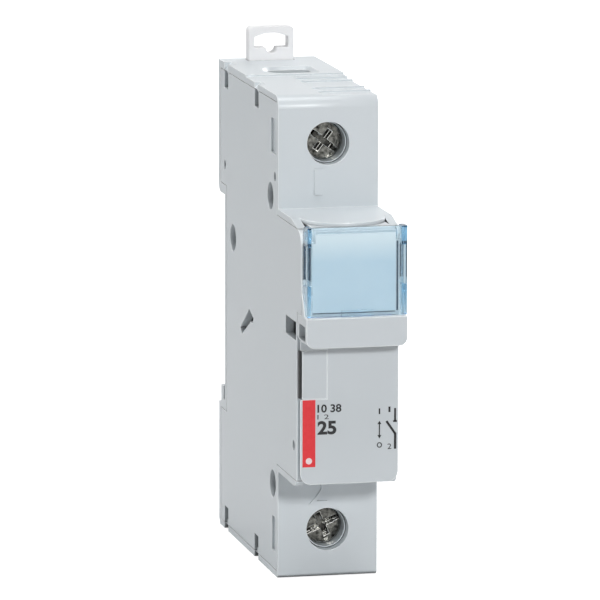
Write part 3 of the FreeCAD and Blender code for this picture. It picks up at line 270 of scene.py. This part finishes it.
FINISH_OF = {
    "housing": "case",
    "side_plate": "case",
    "drawer": "drawer",
    "indicator_blank": "drawer",
    "label_cover": "cover",
    "label_card": "card",
    "neutral_link": "silver",
    "mounting_clip": "clip",
}
for end in ("upper", "lower"):
    FINISH_OF[end + "_jaw"] = "copper"
    FINISH_OF[end + "_contact_bar"] = "copper"
    FINISH_OF[end + "_jaw_spring"] = "spring"
    FINISH_OF[end + "_clamp_cage"] = "zinc"
    FINISH_OF[end + "_terminal_screw"] = "screw"

# Softened edges: their width in millimetres, by the finish of the piece
EDGE_OF = {
    "case": 0.06,
    "drawer": 0.1,
    "clip": 0.25,
    "cover": 0.12,
    "card": 0.03,
    "copper": 0.08,
    "spring": 0.05,
    "zinc": 0.15,
    "screw": 0.12,
}

# Finishes whose rounded edges carry a painted highlight, and the finish of those edges
HIGHLIGHT_EDGE_OF = {"case": "case_edge_highlight", "drawer": "case_edge_highlight", "screw": "screw_edge_highlight"}

# Angles in degrees: a sharper corner is softened, a flatter seam is dissolved
CORNER_ANGLE = 40
SEAM_ANGLE = 0.5
MERGE_GAP = 0.001


def soften_edges(piece, finish, width, clamp):
    """A narrow round along the corners; on some finishes it carries a painted highlight."""
    edge = piece.modifiers.new("soft edges", "BEVEL")
    edge.limit_method = "ANGLE"
    edge.angle_limit = math.radians(CORNER_ANGLE)
    edge.width = width * MM
    edge.segments = 2
    edge.use_clamp_overlap = clamp
    # Painted highlight: the round gets a lighter finish
    if finish in HIGHLIGHT_EDGE_OF:
        piece.data.materials.append(finishes[HIGHLIGHT_EDGE_OF[finish]])
        edge.material = 1


def finish_nodes():
    """A finish for every carried-over node, and softened edges."""
    for name, node in NODES.items():
        finish = FINISH_OF[name]
        node.data.materials.clear()
        node.data.materials.append(finishes[finish])
        if finish in EDGE_OF:
            weld = node.modifiers.new("weld", "WELD")
            weld.merge_threshold = MERGE_GAP * MM
            flat = node.modifiers.new("flat faces", "DECIMATE")
            flat.decimate_type = "DISSOLVE"
            flat.angle_limit = math.radians(SEAM_ANGLE)
            soften_edges(node, finish, EDGE_OF[finish], finish not in HIGHLIGHT_EDGE_OF)


# New pieces: each mesh is made in millimetres and brought to metres at the end
def finish_mesh(name, mesh, body, finish, soft=0.0):
    """One object of the scene, riding on its body."""
    mesh.transform(Matrix.Scale(MM, 4))
    piece = bpy.data.objects.new(name, mesh)
    bpy.context.collection.objects.link(piece)
    mesh.materials.clear()
    mesh.materials.append(finishes[finish])
    if soft:
        soften_edges(piece, finish, soft, False)
    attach(piece, body)
    return piece


def finish_piece(name, bm, body, finish, soft=0.0):
    """The same for a shape made with the operators."""
    bmesh.ops.recalc_face_normals(bm, faces=bm.faces[:])
    mesh = bpy.data.meshes.new(name)
    bm.to_mesh(mesh)
    bm.free()
    return finish_mesh(name, mesh, body, finish, soft)


def add_block(bm, low, high):
    """A block between two corners."""
    middle = [(a + b) / 2 for a, b in zip(low, high)]
    spans = [b - a for a, b in zip(low, high)]
    place = Matrix.Translation(middle) @ Matrix.Diagonal(spans + [1])
    bmesh.ops.create_cube(bm, size=1.0, matrix=place)


def add_bar(bm, start, end, width, back, front):
    """A printed line from one place on a face to another, in X and Z."""
    run = Vector(end) - Vector(start)
    middle = (Vector(start) + Vector(end)) / 2
    turn = Matrix.Rotation(math.atan2(-run.y, run.x), 4, "Y")
    place = Matrix.Translation((middle.x, (back + front) / 2, middle.y)) @ turn
    size = Matrix.Diagonal((run.length, back - front, width, 1))
    bmesh.ops.create_cube(bm, size=1.0, matrix=place @ size)


def add_disc(bm, centre, radius, back, front, segments=32, turn=0.0):
    """A flat disc, or with few segments an arrowhead, on a face that looks along -Y."""
    facing = Matrix.Rotation(math.radians(90), 4, "X")
    spin = Matrix.Rotation(turn, 4, "Y")
    place = Matrix.Translation((centre[0], (back + front) / 2, centre[1])) @ spin @ facing
    bmesh.ops.create_cone(
        bm, cap_ends=True, segments=segments, radius1=radius, radius2=radius,
        depth=back - front, matrix=place)


def make_figure(name, text, corner, width, height, face, thick, weight):
    """The mesh of a figure standing on a face that looks along -Y, in a box of the given size."""
    curve = bpy.data.curves.new(name, "FONT")
    curve.body = text
    curve.extrude = 0.5
    curve.offset = weight
    holder = bpy.data.objects.new(name, curve)
    mesh = bpy.data.meshes.new_from_object(holder)
    bpy.data.objects.remove(holder)
    places = [vertex.co for vertex in mesh.vertices]
    low = [min(place[axis] for place in places) for axis in range(3)]
    high = [max(place[axis] for place in places) for axis in range(3)]
    scale = (width / (high[0] - low[0]), height / (high[1] - low[1]), thick / (high[2] - low[2]))
    mesh.transform(Matrix.Diagonal(scale + (1,)) @ Matrix.Translation((-low[0], -low[1], -low[2])))
    stand = Matrix.Rotation(math.radians(90), 4, "X")
    mesh.transform(Matrix.Translation((corner[0], face, corner[1])) @ stand)
    return mesh


# Joint round the indicator blank
def make_blank_seat():
    """Fills the joint to just under the drawer's face."""
    left, right, foot, head = -8.2, -3.8, -7.9, 0.9
    drop, depth = 0.07, 0.9
    bm = bmesh.new()
    add_block(bm, (left, PANEL_FACE + drop, foot), (right, PANEL_FACE + depth, head))
    finish_piece("blank_seat", bm, "drawer", "drawer")


def make_blank_side_shade_strip():
    """Painted shade: a black strip in the joint at the drawer's left side."""
    left, right, foot, head = -8.74, -8.46, -7.6, 0.6
    front, back = -60.0, -59.3
    bm = bmesh.new()
    add_block(bm, (left, front, foot), (right, back, head))
    finish_piece("blank_side_shade_strip", bm, "drawer", "black")


# Prints on the drawer's front
def make_red_band():
    left, right, foot, head = -8.22, -5.97, -19.5, -7.85
    bm = bmesh.new()
    add_block(bm, (left, PANEL_FACE - INK, foot), (right, PANEL_FACE + INK, head))
    finish_piece("red_band", bm, "drawer", "red")


def make_red_band_dot():
    centre, radius = (-7.1, -18.45), 0.55
    bm = bmesh.new()
    add_disc(bm, centre, radius, PANEL_FACE, PANEL_FACE - 1.5 * INK)
    finish_piece("red_band_dot", bm, "drawer", "pale")


def make_front_figures():
    """Plain figures: the link's size, a rating, and the ON and OFF marks."""
    # Name, text, lower left corner, width, height and how far the strokes are thickened
    rows = (
        ("size_figures", "10 38", (-5.62, -10.1), 4.2, 1.4, 0.025),
        ("pole_figures", "1 2", (-5.62, -11.25), 2.0, 0.8, 0.0),
        ("rating_figures", "25", (-5.6, -13.95), 3.3, 2.4, 0.035),
        ("on_mark", "I", (5.14, -10.75), 0.26, 1.0, 0.0),
        ("off_mark", "O", (4.83, -16.6), 0.9, 0.95, 0.02),
        ("upper_contact_figure", "1", (6.85, -10.45), 0.36, 0.95, 0.0),
        ("lower_contact_figure", "2", (6.7, -16.9), 0.68, 0.95, 0.0),
    )
    for name, text, corner, width, height, weight in rows:
        mesh = make_figure(name, text, corner, width, height, PANEL_FACE + INK, 2 * INK, weight)
        finish_mesh(name, mesh, "drawer", "black")


def make_switch_symbol():
    """Double arrow and the sign for a switch."""
    back, front = PANEL_FACE + INK, PANEL_FACE - INK
    arrow, arrow_top, arrow_foot = 5.27, -12.4, -14.5
    tip, tip_radius = 0.1, 0.4
    # Strokes of the switch: fixed contact, its bar, blade and foot, each with its width
    strokes = (
        ((8.02, -9.8), (8.02, -12.05), 0.34),
        ((7.68, -12.07), (8.36, -12.07), 0.3),
        ((6.5, -12.0), (8.05, -14.25), 0.4),
        ((8.05, -14.1), (8.05, -16.9), 0.42),
    )
    bm = bmesh.new()
    add_bar(bm, (arrow, arrow_top), (arrow, arrow_foot), 0.2, back, front)
    add_disc(bm, (arrow, arrow_top + tip), tip_radius, back, front, 3)
    add_disc(bm, (arrow, arrow_foot - tip), tip_radius, back, front, 3, math.pi)
    for start, stop, width in strokes:
        add_bar(bm, start, stop, width, back, front)
    finish_piece("switch_symbol", bm, "drawer", "black")


# Label card and the label plate (the tray) behind it
CARD_FRONT = -64.6
CARD_FOOT = 7.95
TRAY_FACE = -64.3
TRAY_SIDE = 7.7


def make_label():
    """The card, with a margin at its left that ends below the cover's hinge."""
    left, right, head = -7.0, 6.95, 21.4
    margin_left, margin_head = -7.55, 19.85
    bm = bmesh.new()
    add_block(bm, (left, CARD_FRONT, CARD_FOOT), (right, TRAY_FACE, head))
    add_block(bm, (margin_left, CARD_FRONT, CARD_FOOT), (left, TRAY_FACE, margin_head))
    card = finish_piece("written_label", bm, "drawer", "card")
    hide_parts("label_card")


def make_tray_shade_strips():
    """Painted shade inside the cover: dark strips along the tray's sides, beside the card and under
    it.
    """
    half = 0.05
    front, back = TRAY_FACE + 0.1, -62.0
    foot, head = 13.3, 19.5
    bm = bmesh.new()
    for side in (-TRAY_SIDE, TRAY_SIDE):
        add_block(bm, (side - half, front, foot), (side + half, back, head))
    floor_front, floor_back, floor_side = -62.3, -62.1, 8.6
    floor_foot, floor_head = 13.4, 19.6
    for side in (-1, 1):
        near, far = sorted((side * (TRAY_SIDE - half), side * floor_side))
        add_block(bm, (near, floor_front, floor_foot), (far, floor_back, floor_head))
    beside_left, beside_right, beside_head = 7.15, 7.45, 19.9
    add_block(bm, (beside_left, TRAY_FACE - 0.04, CARD_FOOT), (beside_right, front, beside_head))
    under_left, under_right, under_foot, under_head = -7.45, 6.9, 7.72, 7.86
    add_block(bm, (under_left, TRAY_FACE - 0.03, under_foot), (under_right, front, under_head))
    finish_piece("tray_shade_strips", bm, "drawer", "inside")


# Figures moulded on the terminal shoulders
def make_terminal_figures():
    middle, height, thick, soft = -1.7, 4.5, 0.36, 0.09
    for end, text, width, foot in (("upper", "1", 1.7, 25.0), ("lower", "2", 3.3, -29.4)):
        name = end + "_terminal_figure"
        corner = (middle - width / 2, foot)
        mesh = make_figure(name, text, corner, width, height, SHOULDER_FACE + INK, thick, 0.0)
        finish_mesh(name, mesh, "case", "case", soft)


# Terminal screws: the head's cross stands as it was left after tightening
SCREW_HEIGHT = 33.9
SCREW_TURN = {"upper": 38.0, "lower": -24.0}
SCREW_EDGE = 0.1
SHANK_RADIUS = 2.4
THREAD_PITCH = 0.8
THREAD_FROM = -36.2
THREAD_TO = -31.0
STEPS_PER_TURN = 32


def add_thread(bm, height):
    """A ridge that winds along the shank, cut into its surface."""
    turns = int((THREAD_TO - THREAD_FROM) / THREAD_PITCH)
    root, crest, half = SHANK_RADIUS - 0.3, SHANK_RADIUS + 0.02, 0.3
    corners = [
        bm.verts.new((root, THREAD_FROM, height)),
        bm.verts.new((crest, THREAD_FROM + half, height)),
        bm.verts.new((root, THREAD_FROM + 2 * half, height)),
    ]
    ridge = bm.faces.new(corners)
    bmesh.ops.spin(
        bm, geom=[ridge], cent=(0, 0, height), axis=(0, 1, 0), angle=math.radians(360 * turns),
        dvec=(0, THREAD_PITCH / STEPS_PER_TURN, 0), steps=STEPS_PER_TURN * turns, use_merge=False)


def make_terminal_screws():
    for end, side in (("upper", 1), ("lower", -1)):
        height = side * SCREW_HEIGHT
        bm = bmesh.new()
        bm.from_mesh(NODES[end + "_terminal_screw"].data)
        bmesh.ops.scale(bm, vec=(1 / MM, 1 / MM, 1 / MM), verts=bm.verts[:])
        bmesh.ops.remove_doubles(bm, verts=bm.verts[:], dist=MERGE_GAP)
        bmesh.ops.dissolve_limit(
            bm, angle_limit=math.radians(SEAM_ANGLE), verts=bm.verts[:], edges=bm.edges[:])
        turn = Matrix.Rotation(math.radians(SCREW_TURN[end]), 3, "Y")
        bmesh.ops.rotate(bm, cent=(0, 0, height), matrix=turn, verts=bm.verts[:])
        add_thread(bm, height)
        screw = finish_piece(
            end + "_threaded_screw", bm, end + "_screw", "screw", SCREW_EDGE)
        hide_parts(end + "_terminal_screw")


# Screw bores
BORE_RADIUS = 3.75
COLLAR_RADIUS = 3.42
COLLAR_WALL = 0.17
COLLAR_FRONT = -42.1
COLLAR_STEP = -38.0
COLLAR_BACK = -36.5


def make_bore_collars():
    """A step in each screw bore, round the head of the screw and in front of it."""
    sunk = BORE_RADIUS + 0.05
    corners = (
        (COLLAR_RADIUS, COLLAR_FRONT),
        (COLLAR_RADIUS + COLLAR_WALL, COLLAR_FRONT),
        (COLLAR_RADIUS + COLLAR_WALL, COLLAR_STEP),
        (sunk, COLLAR_STEP),
        (sunk, COLLAR_BACK),
        (COLLAR_RADIUS, COLLAR_BACK),
    )
    for end, side in (("upper", 1), ("lower", -1)):
        height = side * SCREW_HEIGHT
        bm = bmesh.new()
        face = bm.faces.new([bm.verts.new((radius, depth, height)) for radius, depth in corners])
        bmesh.ops.spin(
            bm, geom=[face], cent=(0, 0, height), axis=(0, 1, 0), angle=math.radians(360),
            steps=64, use_merge=True)
        finish_piece(end + "_bore_collar", bm, "case", "case")


# Stage
def make_stage():
    """White floor that shows white to the camera, with a soft shade where the part stands."""
    size, drop, glow_strength = 6.0, 0.02, 0.72
    bpy.ops.mesh.primitive_plane_add(size=size, location=(0, 0, 0))
    floor = bpy.context.object
    floor.name = "studio_floor"
    floor.data.transform(Matrix.Translation((0, 0, FLOOR_LEVEL - drop * MM)))
    material, shader = new_material("floor_white")
    nodes, links = material.node_tree.nodes, material.node_tree.links
    shader.inputs["Base Color"].default_value = (0.74, 0.74, 0.74, 1)
    shader.inputs["Roughness"].default_value = 0.9
    path = nodes.new("ShaderNodeLightPath")
    glow = nodes.new("ShaderNodeMath")
    glow.operation = "MULTIPLY"
    glow.inputs[1].default_value = glow_strength
    links.new(path.outputs["Is Camera Ray"], glow.inputs[0])
    shader.inputs["Emission Color"].default_value = (1, 1, 1, 1)
    links.new(glow.outputs["Value"], shader.inputs["Emission Strength"])
    floor.data.materials.append(material)


def add_sky(nodes, tone, strength):
    sky = nodes.new("ShaderNodeBackground")
    sky.inputs["Color"].default_value = tone
    sky.inputs["Strength"].default_value = strength
    return sky.outputs["Background"]


def make_world():
    """A dim fill on the object, and plain white to the camera, in mirrors and through the cover."""
    world = bpy.data.worlds.new("studio")
    bpy.context.scene.world = world
    world.use_nodes = True
    nodes, links = world.node_tree.nodes, world.node_tree.links
    nodes.clear()
    path = nodes.new("ShaderNodeLightPath")
    sees_white = path.outputs["Is Camera Ray"]
    for ray in ("Is Transmission Ray", "Is Glossy Ray"):
        either = nodes.new("ShaderNodeMath")
        either.operation = "MAXIMUM"
        links.new(sees_white, either.inputs[0])
        links.new(path.outputs[ray], either.inputs[1])
        sees_white = either.outputs["Value"]
    mix = nodes.new("ShaderNodeMixShader")
    links.new(sees_white, mix.inputs["Fac"])
    links.new(add_sky(nodes, (0.95, 0.98, 1.0, 1), 0.06), mix.inputs[1])
    links.new(add_sky(nodes, (1, 1, 1, 1), 1.0), mix.inputs[2])
    output = nodes.new("ShaderNodeOutputWorld")
    links.new(mix.outputs["Shader"], output.inputs["Surface"])


# Lights: the place and the width in metres, and the power in watts
SOFTBOXES = {
    "key_softbox": ((0.02, -1.24, 0.42), 0.12, 7.2),
    "side_softbox": ((-1.45, 0.22, 0.50), 1.2, 9.2),
    "back_softbox": ((1.15, 1.10, 0.80), 0.8, 13.0),
    "top_softbox": ((0.0, -0.16, 1.42), 0.8, 10.8),
}
LIT_PLACE = (0, -0.03, 0)


def make_lights():
    for name, (place, width, power) in SOFTBOXES.items():
        light = bpy.data.lights.new(name, "AREA")
        light.shape = "SQUARE"
        light.size = width
        light.energy = power
        lamp = bpy.data.objects.new(name, light)
        bpy.context.collection.objects.link(lamp)
        lamp.location = place
        lamp.rotation_euler = (Vector(LIT_PLACE) - Vector(place)).to_track_quat("-Z", "Y").to_euler()


# Camera, where the photograph was taken from: metres, degrees and millimetres
CAMERA_PLACE = (-0.23822, -1.07185, 0.18535)
CAMERA_TURN = (80.38, -0.09, -12.77)
CAMERA_LENS = 371.1
SENSOR_WIDTH = 36.0


def make_camera():
    camera = bpy.data.objects.new("camera", bpy.data.cameras.new("camera"))
    bpy.context.collection.objects.link(camera)
    camera.location = CAMERA_PLACE
    camera.rotation_euler = [math.radians(angle) for angle in CAMERA_TURN]
    camera.data.lens = CAMERA_LENS
    camera.data.sensor_width = SENSOR_WIDTH
    bpy.context.scene.camera = camera


make_camera()
make_world()
make_lights()
make_stage()
finishes = make_finishes()
finish_nodes()
make_blank_seat()
make_blank_side_shade_strip()
make_red_band()
make_red_band_dot()
make_front_figures()
make_switch_symbol()
make_label()
make_tray_shade_strips()
make_terminal_figures()
make_terminal_screws()
make_bore_collars()

# Light reaches the label through the cover
NODES["label_cover"].visible_shadow = False
NODES["label_cover"].visible_diffuse = False

bpy.context.scene.view_settings.view_transform = "Standard"
